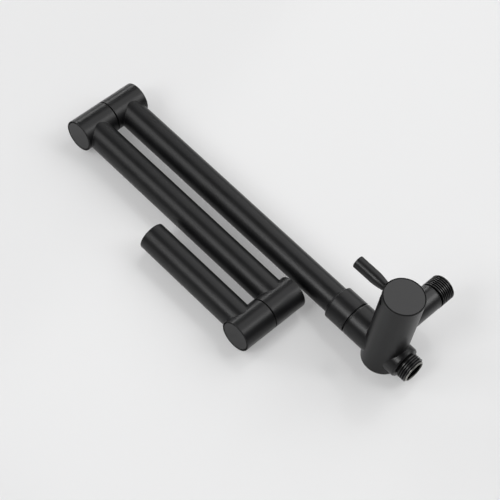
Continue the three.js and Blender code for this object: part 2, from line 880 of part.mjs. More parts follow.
const spoutJointX = secondArmLength - firstArmLength;
const spoutJoint = swivelJoint('spout_joint', Math.PI, Math.PI);
spoutJoint.position.set(spoutJointX, -tubePitch - portAt, 0);

const spout = new THREE.Group();
spout.position.set(spoutJointX, -2 * tubePitch, 0);
spout.rotation.z = Math.PI;
const spoutTip = [[tubeRadius, spoutLength - tipEdge], [tubeRadius - tipEdge, spoutLength]];
spout.add(
  piece('spout_tube', cut(tube(spoutLength, spoutTip), jointSaddle(0)), coated),
  aeratorPieces(),
);

arm.add(firstTube, elbow, secondTube, spoutJoint, spout);
valve.add(arm);

const potFiller = new THREE.Group();
potFiller.add(valve);

export default potFiller;
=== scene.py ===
import json
import math

import bpy
from mathutils import Matrix, Vector


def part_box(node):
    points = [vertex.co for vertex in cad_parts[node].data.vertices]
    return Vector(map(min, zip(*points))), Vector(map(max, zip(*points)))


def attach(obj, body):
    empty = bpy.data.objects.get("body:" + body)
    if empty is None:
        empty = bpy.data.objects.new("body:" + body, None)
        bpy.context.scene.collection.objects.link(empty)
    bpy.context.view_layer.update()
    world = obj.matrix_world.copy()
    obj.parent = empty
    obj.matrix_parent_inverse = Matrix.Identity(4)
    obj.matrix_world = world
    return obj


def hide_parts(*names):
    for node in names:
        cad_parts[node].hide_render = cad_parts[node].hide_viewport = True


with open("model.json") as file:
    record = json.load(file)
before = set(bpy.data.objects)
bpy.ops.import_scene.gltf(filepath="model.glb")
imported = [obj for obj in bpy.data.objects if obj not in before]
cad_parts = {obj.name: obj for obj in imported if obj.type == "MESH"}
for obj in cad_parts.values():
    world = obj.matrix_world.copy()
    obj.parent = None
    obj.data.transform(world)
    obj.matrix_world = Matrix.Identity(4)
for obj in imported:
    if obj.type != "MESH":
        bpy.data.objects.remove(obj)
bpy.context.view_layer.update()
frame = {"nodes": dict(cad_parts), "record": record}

mm = 0.001
roundSteps = 96  # facets round a turned piece
filletSteps = 5  # rings down the fillet where a branch meets its host
cornerSteps = 3  # pieces in a soft corner
mergeGap = 0.002  # points nearer than this, in mm, become one
smoothAngle = 40  # edges that turn by more degrees than this stay sharp
ringAngles = [2 * math.pi * i / roundSteps for i in range(roundSteps)]
print("frame loaded:", len(frame["nodes"]), "nodes")


def deselectAll():
    if bpy.context.object and bpy.context.object.mode != "OBJECT":
        bpy.ops.object.mode_set(mode="OBJECT")
    bpy.ops.object.select_all(action="DESELECT")


def pick(piece):
    deselectAll()
    piece.select_set(True)
    bpy.context.view_layer.objects.active = piece


def editAll(piece):  # edit mode, with the whole mesh selected
    pick(piece)
    bpy.ops.object.mode_set(mode="EDIT")
    bpy.ops.mesh.select_all(action="SELECT")


def nodeBox(node):  # lowest and highest corner, in mm
    low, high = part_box(node)
    return low / mm, high / mm


def nodeMiddle(node):
    low, high = nodeBox(node)
    return (low + high) / 2


def closeMesh(piece):  # merge seams and poles, and turn the faces outwards
    editAll(piece)
    bpy.ops.mesh.remove_doubles(threshold=mergeGap * mm)
    bpy.ops.mesh.normals_make_consistent(inside=False)
    bpy.ops.object.mode_set(mode="OBJECT")


def cleanCuts(piece):  # faces that cutters have crossed become neat triangles, with no slivers
    closeMesh(piece)
    editAll(piece)
    bpy.ops.mesh.quads_convert_to_tris(quad_method="BEAUTY", ngon_method="BEAUTY")
    bpy.ops.mesh.dissolve_degenerate(threshold=mergeGap * mm)
    bpy.ops.object.mode_set(mode="OBJECT")


def placeByAxes(piece, at, xAxis, yAxis, zAxis):  # the place and the turn go into the mesh
    turn = Matrix((xAxis, yAxis, zAxis)).transposed().to_4x4()
    piece.matrix_world = Matrix.Translation(Vector(at) * mm) @ turn
    pick(piece)
    bpy.ops.object.transform_apply(location=True, rotation=True, scale=True)


def placePiece(piece, at, along, across=None):
    # local Z goes along a direction and local X across it, which is upwards unless the piece stands up
    zAxis = Vector(along).normalized()
    xAxis = Vector(across or ((0, 0, 1) if abs(zAxis.z) < 0.9 else (1, 0, 0))).normalized()
    placeByAxes(piece, at, xAxis, zAxis.cross(xAxis), zAxis)


def placeBranch(piece, at, out, host):  # local X points out of the host, and local Y runs along it
    outAxis, hostAxis = Vector(out), Vector(host)
    placeByAxes(piece, at, outAxis, hostAxis, outAxis.cross(hostAxis))


def softCorners(outline):
    # a corner written as [radius, height, edge] becomes a small curve that starts [edge] before it
    points = []
    for i, corner in enumerate(outline):
        here = Vector(corner[:2])
        if len(corner) == 2:
            points.append(here)
            continue
        before, after = (Vector(outline[j % len(outline)][:2]) for j in (i - 1, i + 1))
        start = here + (before - here).normalized() * corner[2]
        end = here + (after - here).normalized() * corner[2]
        for k in range(cornerSteps + 1):
            t = k / cornerSteps
            points.append(start.lerp(here, t).lerp(here.lerp(end, t), t))
    return points


def turnPiece(name, outline, steps=roundSteps):
    # a vertex is extruded from point to point of the outline, and spun about Z
    outline = softCorners(outline)
    deselectAll()
    bpy.ops.mesh.primitive_plane_add(size=mm)
    piece = bpy.context.object
    piece.name = piece.data.name = name
    bpy.ops.object.mode_set(mode="EDIT")
    bpy.ops.mesh.merge(type="CENTER")
    before = Vector((0, 0))
    closed = outline[0].x > 0 and outline[-1].x > 0
    for i, point in enumerate(outline + outline[:1] * closed):
        step = ((point.x - before.x) * mm, 0, (point.y - before.y) * mm)
        if i == 0:
            bpy.ops.transform.translate(value=step)
        else:
            bpy.ops.mesh.extrude_region_move(TRANSFORM_OT_translate={"value": step})
        before = point
    bpy.ops.mesh.select_all(action="SELECT")
    bpy.ops.mesh.spin(steps=steps, angle=2 * math.pi, center=(0, 0, 0), axis=(0, 0, 1))
    bpy.ops.object.mode_set(mode="OBJECT")
    closeMesh(piece)
    return piece


def rollUp(name, rings):
    # a flat grid is rolled up, one row for each ring of points, and its seams are merged
    rows, columns = len(rings), len(rings[0])
    deselectAll()
    bpy.ops.mesh.primitive_grid_add(x_subdivisions=rows, y_subdivisions=columns, size=1)
    piece = bpy.context.object
    piece.name = piece.data.name = name
    for vertex in piece.data.vertices:
        row = round((vertex.co.x + 0.5) * rows) % rows
        column = round((vertex.co.y + 0.5) * columns) % columns
        vertex.co = Vector(rings[row][column]) * mm
    closeMesh(piece)
    return piece


def applyModifier(piece, kind, **settings):
    pick(piece)
    modifier = piece.modifiers.new(kind.title(), kind)
    for setting, value in settings.items():
        setattr(modifier, setting, value)
    bpy.ops.object.modifier_apply(modifier=modifier.name)


def cutWith(piece, cutter):
    applyModifier(piece, "BOOLEAN", operation="DIFFERENCE", object=cutter, solver="EXACT")
    bpy.data.objects.remove(cutter)


def finishPiece(piece, material, slot, body, *replaced):
    pick(piece)
    bpy.ops.object.shade_smooth_by_angle(angle=math.radians(smoothAngle))
    applyModifier(piece, "WEIGHTED_NORMAL", keep_sharp=True)  # large faces stay even beside small edges
    piece.data.materials.clear()
    piece.data.materials.append(material)
    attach(piece, body)
    if replaced:
        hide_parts(*replaced)


def ring(radius, along):  # a flat ring about X
    return [(along, radius * math.cos(a), radius * math.sin(a)) for a in ringAngles]


def branchRings(radius, bore, hostRadius, fillet, sunk):
    # the foot of a bored branch along X on a round host about Y: the bore's end just under the host's
    # skin, the foot's edge beside it, and rings up a soft fillet to the branch
    reach, ball = hostRadius + fillet, radius + fillet
    rings = []
    for k in range(filletSteps + 1):
        points = []
        for a in ringAngles:
            y, z = ball * math.cos(a), ball * math.sin(a)
            centre = Vector((math.sqrt(reach ** 2 - z ** 2), y, z))
            onBranch = Vector((centre.x, radius * math.cos(a), radius * math.sin(a)))
            shrink = hostRadius / reach
            onHost = Vector((centre.x * shrink, centre.y, centre.z * shrink))
            start, end = (onBranch - centre).normalized(), (onHost - centre).normalized()
            points.append(centre + start.slerp(end, k / filletSteps) * fillet)
        rings.append(points)
    under = [Vector((p.x, 0, p.z)) * (1 - sunk / hostRadius) + Vector((0, p.y, 0)) for p in rings[-1]]
    boreEnd = [(x + math.sqrt((hostRadius - sunk) ** 2 - z * z), y, z) for x, y, z in ring(bore, 0)]
    return [boreEnd, under] + rings[::-1]


def colour(code):  # an sRGB hex colour as linear values
    values = [int(code[i:i + 2], 16) / 255 for i in (1, 3, 5)]
    linear = [v / 12.92 if v <= 0.04045 else ((v + 0.055) / 1.055) ** 2.4 for v in values]
    return (*linear, 1)


def addNode(tree, kind, settings=None, links=None):
    node = tree.nodes.new(kind)
    for name, value in (settings or {}).items():
        if name in node.inputs:
            node.inputs[name].default_value = value
        else:
            setattr(node, name, value)
    for name, source in (links or {}).items():
        tree.links.new(source, node.inputs[name])
    return node


def newTree(material):
    material.use_nodes = True
    material.node_tree.nodes.clear()
    return material.node_tree


noiseSettings = {
    "grain": {"Detail": 3.0, "Roughness": 0.55}, "patch": {"Detail": 2.0, "Roughness": 0.5},
    "shadeEnds": (0.3, 0.7), "sheenFrom": 0.6, "sheenTo": 1.4,
}


def makeMaterial(name, finish):
    # broad patches shade the colour, a fine grain gives the bump, and both together vary the sheen
    n = noiseSettings
    material = bpy.data.materials.new(name)
    tree = newTree(material)
    place = addNode(tree, "ShaderNodeTexCoord").outputs["Object"]
    grain, patches = (
        addNode(tree, "ShaderNodeTexNoise", {"Scale": 1 / (finish[kind] * mm), **n[kind]}, {"Vector": place})
        for kind in ("grain", "patch")
    )
    shades = addNode(tree, "ShaderNodeValToRGB", None, {"Fac": patches.outputs["Fac"]})
    for element, end, shade in zip(shades.color_ramp.elements, n["shadeEnds"], ("dark", "light")):
        element.position, element.color = end, colour(finish[shade])
    both = addNode(tree, "ShaderNodeMath", {"operation": "ADD"},
                   {0: grain.outputs["Fac"], 1: patches.outputs["Fac"]})
    low, high = finish["roughness"]
    sheen = addNode(tree, "ShaderNodeMapRange",
                    {"From Min": n["sheenFrom"], "From Max": n["sheenTo"], "To Min": low, "To Max": high},
                    {"Value": both.outputs["Value"]})
    bump = addNode(tree, "ShaderNodeBump",
                   {"Strength": finish["bump"], "Distance": finish["depth"] * mm},
                   {"Height": grain.outputs["Fac"]})
    shader = addNode(tree, "ShaderNodeBsdfPrincipled", {"Metallic": finish.get("metallic", 0.0)}, {
        "Base Color": shades.outputs["Color"],
        "Roughness": sheen.outputs["Result"],
        "Normal": bump.outputs["Normal"],
    })
    if "ior" in finish:
        shader.inputs["IOR"].default_value = finish["ior"]
    if "paintedShadeAndSheen" in finish:  # the specular level, painted low in the roots of a thread as painted shade and high on its crests as a painted sheen
        low, high = finish["paintedShadeAndSheen"]
        crest = addNode(tree, "ShaderNodeAttribute", {"attribute_name": "crest"})
        paintedShadeAndSheen = addNode(tree, "ShaderNodeMapRange", {"To Min": low, "To Max": high},
                        {"Value": crest.outputs["Fac"]})
        tree.links.new(paintedShadeAndSheen.outputs["Result"], shader.inputs["Specular IOR Level"])
    addNode(tree, "ShaderNodeOutputMaterial", None, {"Surface": shader.outputs["BSDF"]})
    return material


# Grain, patch and depth are sizes in mm. What is machined, moulded or lapped has a grain of 0.1 mm or
# less, and it is drawn at 0.3 to 0.7 mm to show at all.
# Satin black powder coat on brass: a deep neutral black with a soft sheen and a fine orange peel,
# about 0.4 mm across and drawn at 0.9 mm to show at all
coatFinish = {
    "dark": "#0f0f10", "light": "#141415", "roughness": (0.30, 0.36), "ior": 1.40,
    "grain": 0.9, "patch": 14, "bump": 0.22, "depth": 0.03,
}
satinBlack = makeMaterial("satinBlackPowderCoat", coatFinish)
# The same coat on the body's tall side, where it has dried flatter and reflects a little less
satinBlackBody = makeMaterial("satinBlackBodyCoat", {**coatFinish, "roughness": (0.32, 0.38), "ior": 1.35})
# The same coat on the flat top cap, a little smoother, with its colour painted lighter and its sheen raised:
# painted light on the top
satinBlackCapPaintedLight = makeMaterial("satinBlackCapPaintedLightCoat", {
    **coatFinish, "dark": "#19191a", "light": "#1d1d1e", "ior": 1.53, "bump": 0.08,
})
# The coat on the threads and the inlet pipe, with a painted sheen raised on the crests and the pipe, and
# painted shade in the roots where the sheen is lowered
satinBlackThreadPaintedShade = makeMaterial("satinBlackThreadPaintedShadeCoat", {**coatFinish, "paintedShadeAndSheen": (0.1, 0.85)})
# Pale grey metal with a soft shine on the rim of the outlet's mouth: a painted reflection of the pale floor
rimPaintedReflection = makeMaterial("rimPaintedReflectionSealFace", {
    "dark": "#8b8a86", "light": "#a3a29d", "roughness": (0.28, 0.42), "metallic": 1.0,
    "grain": 0.4, "patch": 3, "bump": 0.12, "depth": 0.02,
})
# Machined brass under the coat: warm yellow, mottled and faintly rough from the cutting
machinedBrass = makeMaterial("machinedBrass", {
    "dark": "#a9843f", "light": "#c09a52", "roughness": (0.24, 0.38), "metallic": 1.0,
    "grain": 0.5, "patch": 6, "bump": 0.15, "depth": 0.02,
})
# Spring steel of the clips and the screw: cool grey, with a sheen that changes from patch to patch
springSteel = makeMaterial("springSteel", {
    "dark": "#8d9093", "light": "#a9acaf", "roughness": (0.26, 0.40), "metallic": 1.0,
    "grain": 0.4, "patch": 5, "bump": 0.15, "depth": 0.02,
})
# Moulded nitrile rubber of the seals: dull soft black with a faint bloom
sealRubber = makeMaterial("nitrileRubber", {
    "dark": "#111112", "light": "#1b1b1b", "roughness": (0.62, 0.82),
    "grain": 0.6, "patch": 4, "bump": 0.25, "depth": 0.04,
})
# Acetal slip rings in the seams: matt and nearly black, so that the seams read as dark lines
blackAcetal = makeMaterial("blackAcetal", {
    "dark": "#070708", "light": "#0c0c0d", "roughness": (0.58, 0.72), "ior": 1.3,
    "grain": 0.5, "patch": 5, "bump": 0.12, "depth": 0.02,
})
# Moulded white plastic of the cartridge and the aerator: pale, slightly mottled, soft gloss
whitePlastic = makeMaterial("mouldedWhitePlastic", {
    "dark": "#c9cac6", "light": "#dddeda", "roughness": (0.36, 0.5),
    "grain": 0.7, "patch": 7, "bump": 0.12, "depth": 0.02,
})
# Lapped ceramic discs: off white, very smooth
lappedCeramic = makeMaterial("lappedCeramic", {
    "dark": "#e4e2da", "light": "#f1efe8", "roughness": (0.10, 0.18),
    "grain": 0.3, "patch": 5, "bump": 0.05, "depth": 0.01,
})
finishBySlot = {
    "satin_black_coating": satinBlack,
    "brass": machinedBrass,
    "steel": springSteel,
    "rubber": sealRubber,
    "slip_ring": blackAcetal,
    "moulded_plastic": whitePlastic,
    "ceramic": lappedCeramic,
}
for part in frame["record"]["subparts"]:
    for place in frame["nodes"][part["node"]].material_slots:
        place.material = finishBySlot[part["material_slot"]]
print("materials made")

# Places and sizes from the frame, in mm
coat = "satin_black_coating"
bodyLow, bodyHigh = nodeBox("valve_body")
bodyRadius = (bodyHigh.x - bodyLow.x) / 2
bodyHeight = bodyHigh.z - bodyLow.z
bodyFoot = Vector(((bodyLow.x + bodyHigh.x) / 2, (bodyLow.y + bodyHigh.y) / 2, bodyLow.z))
tubeLow, tubeHigh = nodeBox("spout_tube")
tubeRadius = (tubeHigh.z - tubeLow.z) / 2
armLevel = (tubeHigh.z + tubeLow.z) / 2
armCentre = (bodyFoot.x, bodyFoot.y, armLevel)  # on the body's axis, level with the arm
inletLevel = nodeMiddle("inlet_nipple").z
leverLevel = nodeMiddle("lever").z
nutLow, nutHigh = nodeBox("arm_nut")
collarRadius = (nutHigh.z - nutLow.z) / 2
jointRadius = nodeBox("elbow_rear_housing")[1].z - armLevel

bodySettings = {
    "cavityRadius": 12.5, "cavityFloor": 47.5, "capSeatRadius": 15.6, "capSeatDepth": 1.7,
    "topEdge": 0.2, "footEdge": 0.4,
    "leverAngle": 180, "slotSwing": 45, "slotHalf": 3.6, "slotInset": 1.5, "slotSteps": 72,
    "portRadius": 7, "portSeatRadius": 9.1, "portSeatReach": 12.35, "portBlindEnd": 4, "portSteps": 48,
    "cutterOver": 2,  # how far the cutters stand out of the body
}


def makeBody():
    s = bodySettings
    seat = bodyHeight - s["capSeatDepth"]
    shell = turnPiece("valveBodyShell", [
        [0, 0], [bodyRadius, 0, s["footEdge"]], [bodyRadius, bodyHeight, s["topEdge"]],
        [s["capSeatRadius"], bodyHeight], [s["capSeatRadius"], seat], [s["cavityRadius"], seat],
        [s["cavityRadius"], s["cavityFloor"]], [0, s["cavityFloor"]],
    ])
    slotLevel, half = leverLevel - bodyFoot.z, s["slotHalf"]
    low, high = slotLevel - half, slotLevel + half
    inner, outer = s["cavityRadius"] - s["slotInset"], bodyRadius + s["cutterOver"]
    slot = turnPiece("slotCutter", [
        [inner, low], [outer, low], [outer, high], [inner, high],
    ], s["slotSteps"])
    slotEnds = [(side, math.radians(s["leverAngle"] + side * s["slotSwing"])) for side in (-1, 1)]
    pick(slot)
    bpy.ops.object.mode_set(mode="EDIT")
    for side, angle in slotEnds:  # keep the quarter towards the lever
        normal = (-math.sin(angle) * side, math.cos(angle) * side, 0)
        bpy.ops.mesh.select_all(action="SELECT")
        bpy.ops.mesh.bisect(plane_co=(0, 0, 0), plane_no=normal, use_fill=True, clear_outer=True)
    bpy.ops.object.mode_set(mode="OBJECT")
    cutWith(shell, slot)
    for side, angle in slotEnds:  # round off both ends of the slot
        end = turnPiece("slotEndCutter", [
            [0, inner], [half, inner], [half, outer], [0, outer],
        ], s["portSteps"])
        placePiece(end, (0, 0, slotLevel), (math.cos(angle), math.sin(angle), 0))
        cutWith(shell, end)
    ports = [((-1, 0, 0), armLevel), ((1, 0, 0), armLevel), ((0, 1, 0), inletLevel)]
    for direction, level in ports:
        port = turnPiece("portCutter", [
            [0, s["portBlindEnd"]], [s["portRadius"], s["portBlindEnd"]],
            [s["portRadius"], s["portSeatReach"]], [s["portSeatRadius"], s["portSeatReach"]],
            [s["portSeatRadius"], outer], [0, outer],
        ], s["portSteps"])
        placePiece(port, (0, 0, level - bodyFoot.z), direction)
        cutWith(shell, port)
    cleanCuts(shell)
    placePiece(shell, bodyFoot, (0, 0, 1))
    finishPiece(shell, satinBlackBody, coat, "valve", "valve_body")


capSettings = {"gap": 0.6, "thickness": 1.6, "edge": 0.15}


def makeCap():
    s = capSettings
    radius = bodySettings["capSeatRadius"] - s["gap"]
    disc = turnPiece("topCapDisc", [
        [0, -s["thickness"]], [radius, -s["thickness"]], [radius, 0, s["edge"]], [0, 0],
    ])
    placePiece(disc, (bodyFoot.x, bodyFoot.y, bodyHigh.z), (0, 0, 1))
    # the top disc takes the coat with painted light
    finishPiece(disc, satinBlackCapPaintedLight, coat, "valve", "top_cap")


makeBody()
makeCap()
print("valve body made")

threadSettings = {
    "pitch": 1.814, "depth": 1.162, "outerRadius": 10.4775, "stepsPerPitch": 16,
    "flankRise": 4, "crestWidth": 1.4, "bore": 7.6, "edge": 0.5, "runOut": 0.9,
}


def threadRings(start, end):
    # rings whose radius follows the spiral of a half inch pipe thread, from [start] out to [end]
    s = threadSettings
    count = round((end - start) / s["pitch"] * s["stepsPerPitch"])
    rings = []
    for k in range(count + 1):
        along = start + (end - start) * k / count
        points = []
        for i in range(roundSteps):
            turn = i / roundSteps
            slope = 1 - abs(2 * ((along / s["pitch"] - turn) % 1) - 1)
            # a flat coated crest, steep flanks and an open root
            wave = min(1, max(0, slope * s["flankRise"] - s["crestWidth"]))
            cutDepth = s["depth"] * wave * min(1, (along - start) / s["runOut"])
            chamfer = max(0, along - (end - s["edge"]))
            radius = min(s["outerRadius"] - cutDepth, s["outerRadius"] - chamfer)
            a = 2 * math.pi * turn
            points.append((along, radius * math.cos(a), radius * math.sin(a)))
        rings.append(points)
    return rings


def markCrests(piece):
    # how high each point stands on the thread, for its material: 0 in the root and 1 on the crest
    s = threadSettings
    heights = [math.hypot(v.co.y, v.co.z) / mm - s["outerRadius"] + s["depth"] for v in piece.data.vertices]
    crest = piece.data.attributes.new("crest", "FLOAT", "POINT")
    crest.data.foreach_set("value", [min(1, max(0, height / s["depth"])) for height in heights])


inletSettings = {
    "pipeRadius": 10.35, "threadLength": 12.8, "fillet": 0.5, "sunk": 0.4,
    "faceInset": 0.2, "mouthEdge": 0.3,
    # a low bead and the relief before the thread, as height over the pipe and distance from the thread
    "neck": [(0, 2.5), (0.2, 2.1), (0.2, 1.7), (-0.1, 1.3), (-1.1, 0.7), (-1.1, 0)],
}


def makeInlet():
    s, t = inletSettings, threadSettings
    pipe, bore, mouth = s["pipeRadius"], t["bore"], s["mouthEdge"]
    reach = nodeBox("inlet_nipple")[1].y - bodyFoot.y
    start = reach - s["threadLength"]
    rings = branchRings(pipe, bore, bodyRadius, s["fillet"], s["sunk"])
    rings += [ring(pipe + height, start - distance) for height, distance in s["neck"]]
    rings += threadRings(start, reach)
    rings += [ring(t["outerRadius"] - t["edge"] - s["faceInset"], reach), ring(bore + mouth, reach),
              ring(bore, reach - mouth)]
    piece = rollUp("inletPipe", rings)
    markCrests(piece)
    placeBranch(piece, (bodyFoot.x, bodyFoot.y, inletLevel), (0, 1, 0), (0, 0, 1))
    # the coat with painted shade in the roots and a painted sheen on the crests and the pipe
    finishPiece(piece, satinBlackThreadPaintedShade, coat, "valve", "inlet_nipple")


outletSettings = {
    "flangeRadius": 12.9, "flangeLength": 3.8, "bevelLength": 1.2, "bevelDepth": 0.7,
    "flangeEdge": 0.3, "fillet": 0.6, "sunk": 0.4,
    "threadLength": 8, "reliefDepth": 1.6, "reliefGap": 0.3, "stubSunk": 1,
    "noseRadius": 9.25, "noseLength": 1.2, "noseInset": 0.2,
    "rimBore": 8.05, "rimChamfer": 0.55, "rimLength": 0.75, "rimEdge": 0.1,
}


def makeOutlet():
    s, t = outletSettings, threadSettings
    reach = nodeBox("outlet_nipple")[1].x - bodyFoot.x
    flange, flangeEnd = s["flangeRadius"], bodyRadius + s["flangeLength"]
    front = softCorners([
        [flange, flangeEnd - s["bevelLength"] - s["flangeEdge"]],
        [flange, flangeEnd - s["bevelLength"], s["flangeEdge"] / 2],
        [flange - s["bevelDepth"], flangeEnd, s["flangeEdge"]], [t["bore"], flangeEnd],
    ])
    foot = branchRings(flange, t["bore"], bodyRadius, s["fillet"], s["sunk"])
    shoulder = rollUp("outletFlange", foot + [ring(p.x, p.y) for p in front])
    placeBranch(shoulder, armCentre, (1, 0, 0), (0, 0, 1))
    finishPiece(shoulder, satinBlack, coat, "valve", "outlet_nipple")
    start, end = reach - s["threadLength"], reach - s["noseLength"]
    stubStart, rimStart = flangeEnd - s["stubSunk"], reach - s["rimLength"]
    relief, nose = t["outerRadius"] - s["reliefDepth"], s["noseRadius"] - s["noseInset"]
    rings = [ring(t["bore"], stubStart), ring(relief, stubStart), ring(relief, start - s["reliefGap"])]
    rings += threadRings(start, end)
    rings += [ring(nose, end), ring(nose, rimStart), ring(t["bore"], rimStart)]
    stub = rollUp("outletThread", rings)
    markCrests(stub)
    placeBranch(stub, armCentre, (1, 0, 0), (0, 0, 1))
    # the coat with painted shade in the roots and a painted sheen on the crests
    finishPiece(stub, satinBlackThreadPaintedShade, coat, "valve")
    rim = turnPiece("outletSealFace", [
        [s["rimBore"], rimStart], [s["noseRadius"], rimStart], [s["noseRadius"], reach - s["rimChamfer"]],
        [s["noseRadius"] - s["rimChamfer"], reach], [s["rimBore"], reach, s["rimEdge"]],
    ])
    placePiece(rim, armCentre, (1, 0, 0), (0, 1, 0))
    # the mouth's rim takes pale metal as a painted reflection
    finishPiece(rim, rimPaintedReflection, "brass", "valve")


makeInlet()
makeOutlet()
print("threaded fittings made")

# The swivel at the body: a fixed socket and its union nut, with a seam between them
socketSettings = {
    "end": 30.3, "seam": 1.25, "bevelLength": 0.9, "bevelDepth": 0.4, "bevelEdge": 0.15, "faceEdge": 0.1,
    "fillet": 0.6, "sunk": 0.4, "neckRadius": 12.3, "neckEnd": 42.2, "bore": 10,
}


def makeSocket():
    s = socketSettings
    end, bevel = s["end"], s["bevelLength"]
    front = softCorners([
        [collarRadius, end - 2 * bevel], [collarRadius, end - bevel, s["bevelEdge"]],
        [collarRadius - s["bevelDepth"], end, s["faceEdge"]], [s["neckRadius"], end],
        [s["neckRadius"], s["neckEnd"]], [s["bore"], s["neckEnd"]],
    ])
    foot = branchRings(collarRadius, s["bore"], bodyRadius, s["fillet"], s["sunk"])
    piece = rollUp("armSocketCollar", foot + [ring(p.x, p.y) for p in front])
    placeBranch(piece, armCentre, (-1, 0, 0), (0, 0, 1))
    finishPiece(piece, satinBlack, coat, "valve", "arm_socket")


nutSettings = {
    "bore": 12.8, "end": 49.4, "lip": 5, "edge": 0.2, "shoulder": 1.2,
    "beadHeight": 0.45, "beadLength": 1.4, "tubeGap": 0.1,
}


def makeNut():
    s = nutSettings
    start, end = socketSettings["end"] + socketSettings["seam"], s["end"]
    lipBore = tubeRadius + s["tubeGap"]
    piece = turnPiece("unionNut", [
        [s["bore"], start], [collarRadius, start, s["edge"]], [collarRadius, end, s["shoulder"]],
        [lipBore + s["beadHeight"], end], [lipBore, end + s["beadLength"]],
        [lipBore, end - s["lip"]], [s["bore"], end - s["lip"]],
    ])
    placePiece(piece, armCentre, (-1, 0, 0))
    finishPiece(piece, satinBlack, coat, "valve", "arm_nut")


makeSocket()
makeNut()
print("swivel made")

leverSettings = {
    "neck": 3.2, "root": 3.7, "grip": 5, "taperStart": 16.9, "taperLength": 10.7, "swell": 0.62,
    "inner": 6.5, "edge": 0.45, "longer": 0.6, "curveSteps": 14,
}


def makeLever():
    s = leverSettings
    reach = bodyFoot.x - nodeBox("lever")[0].x + s["longer"]
    taper = []
    for k in range(s["curveSteps"] + 1):
        t = k / s["curveSteps"]
        first, second, third = (1 - t) ** 2, 2 * t * (1 - t), t * t
        taper.append([
            first * s["root"] + second * s["grip"] + third * s["grip"],
            s["taperStart"] + s["taperLength"] * (second * s["swell"] + third),
        ])
    piece = turnPiece("leverHandle", [
        [0, s["inner"]], [s["neck"], s["inner"]], [s["neck"], s["taperStart"]], *taper,
        [s["grip"], reach, s["edge"]], [0, reach],
    ])
    placePiece(piece, (bodyFoot.x, bodyFoot.y, leverLevel), (-1, 0, 0))
    finishPiece(piece, satinBlack, coat, "lever", "lever")


makeLever()
print("lever made")

jointSettings = {
    "bearing": 9.5, "bearingEnd": 8.975, "chamber": 11, "capSeatRadius": 12.6, "capSeatDepth": 2.6,
    "seamEdge": 0.35, "endEdge": 0.2, "capGap": 0.95, "capEdge": 0.25, "capLift": 0.05,
}
# which way each half goes from its seam, and how much further out the photo has its end
jointHalves = [
    {"name": "elbowRear", "node": "elbow_rear", "body": "first_arm", "way": 1, "longer": 0.8},
    {"name": "elbowFront", "node": "elbow_front", "body": "second_arm", "way": -1, "longer": 0.8},
    {"name": "spoutJointRear", "node": "spout_joint_rear", "body": "second_arm", "way": 1, "longer": 0.5},
    {"name": "spoutJointFront", "node": "spout_joint_front", "body": "spout", "way": -1, "longer": 0},
]


def makeJointHalf(name, node, body, way, longer):
    # a turned shell from the seam outwards, with its end cap let in
    s = jointSettings
    low, high = nodeBox(node + "_housing")
    radius = high.z - armLevel
    start, end = (low.y, high.y) if way > 0 else (-high.y, -low.y)
    length = end - start + longer
    seat = length - s["capSeatDepth"]
    origin = (nodeMiddle(node + "_cap").x, start * way, armLevel)
    shell = turnPiece(name + "Shell", [
        [s["bearing"], 0], [radius, 0, s["seamEdge"]], [radius, length, s["endEdge"]],
        [s["capSeatRadius"], length], [s["capSeatRadius"], seat], [s["chamber"], seat],
        [s["chamber"], s["bearingEnd"]], [s["bearing"], s["bearingEnd"]],
    ])
    placePiece(shell, origin, (0, way, 0))
    finishPiece(shell, satinBlack, coat, body, node + "_housing")
    rim, under = s["capSeatRadius"] - s["capGap"], seat + s["capLift"]
    disc = turnPiece(name + "Disc", [[0, under], [rim, under], [rim, length, s["capEdge"]], [0, length]])
    placePiece(disc, origin, (0, way, 0))
    finishPiece(disc, satinBlack, coat, body, node + "_cap")


for half in jointHalves:
    makeJointHalf(**half)
print("joints made")

tubeSettings = {
    "wall": 1.2, "fillet": 0.6, "sunk": 0.4,
    "tipEdge": 0.4, "tipRound": 0.3, "tipLonger": 0.7, "mouthEdge": 0.2,
}


def makeTube(name, node, body, startX, endX, saddleEnd=False):
    # from a joint's axis at startX to a second joint's axis, a hidden end or an open tip at endX
    s = tubeSettings
    bore, length = tubeRadius - s["wall"], abs(endX - startX)
    rings = branchRings(tubeRadius, bore, jointRadius, s["fillet"], s["sunk"])
    if saddleEnd:
        rings += [[(length - p[0], p[1], p[2]) for p in one] for one in rings[::-1]]
    else:
        edge, soft, mouth = s["tipEdge"], s["tipEdge"] * s["tipRound"], s["mouthEdge"]
        rings += [ring(tubeRadius, length - edge), ring(tubeRadius - soft, length - soft),
                  ring(tubeRadius - edge, length), ring(bore + mouth, length), ring(bore, length - mouth)]
    piece = rollUp(name, rings)
    out = 1 if endX > startX else -1
    placeBranch(piece, (startX, nodeMiddle(node).y, armLevel), (out, 0, 0), (0, 1, 0))
    finishPiece(piece, satinBlack, coat, body, node)


elbowX = nodeMiddle("elbow_rear_cap").x
spoutJointX = nodeMiddle("spout_joint_rear_cap").x
makeTube("rearTube", "first_arm_tube", "first_arm", elbowX, nodeBox("first_arm_tube")[1].x)
makeTube("frontTube", "second_arm_tube", "second_arm", elbowX, spoutJointX, saddleEnd=True)
makeTube("spoutTube", "spout_tube", "spout", spoutJointX, tubeLow.x - tubeSettings["tipLonger"])
print("tubes made")

slipRingSettings = {"bore": 9.6, "inset": 1.1, "edge": 0.12}


def makeSlipRing(name, node, body):  # it shows at the bottom of the seam
    s = slipRingSettings
    low, high = nodeBox(node)
    middle, half = nodeMiddle(node), (high.y - low.y) / 2
    radius = (high.z - low.z) / 2 - s["inset"]
    piece = turnPiece(name, [
        [s["bore"], -half], [radius, -half, s["edge"]], [radius, half, s["edge"]], [s["bore"], half],
    ])
    placePiece(piece, (middle.x, middle.y, armLevel), (0, 1, 0))
    finishPiece(piece, blackAcetal, "slip_ring", body, node)


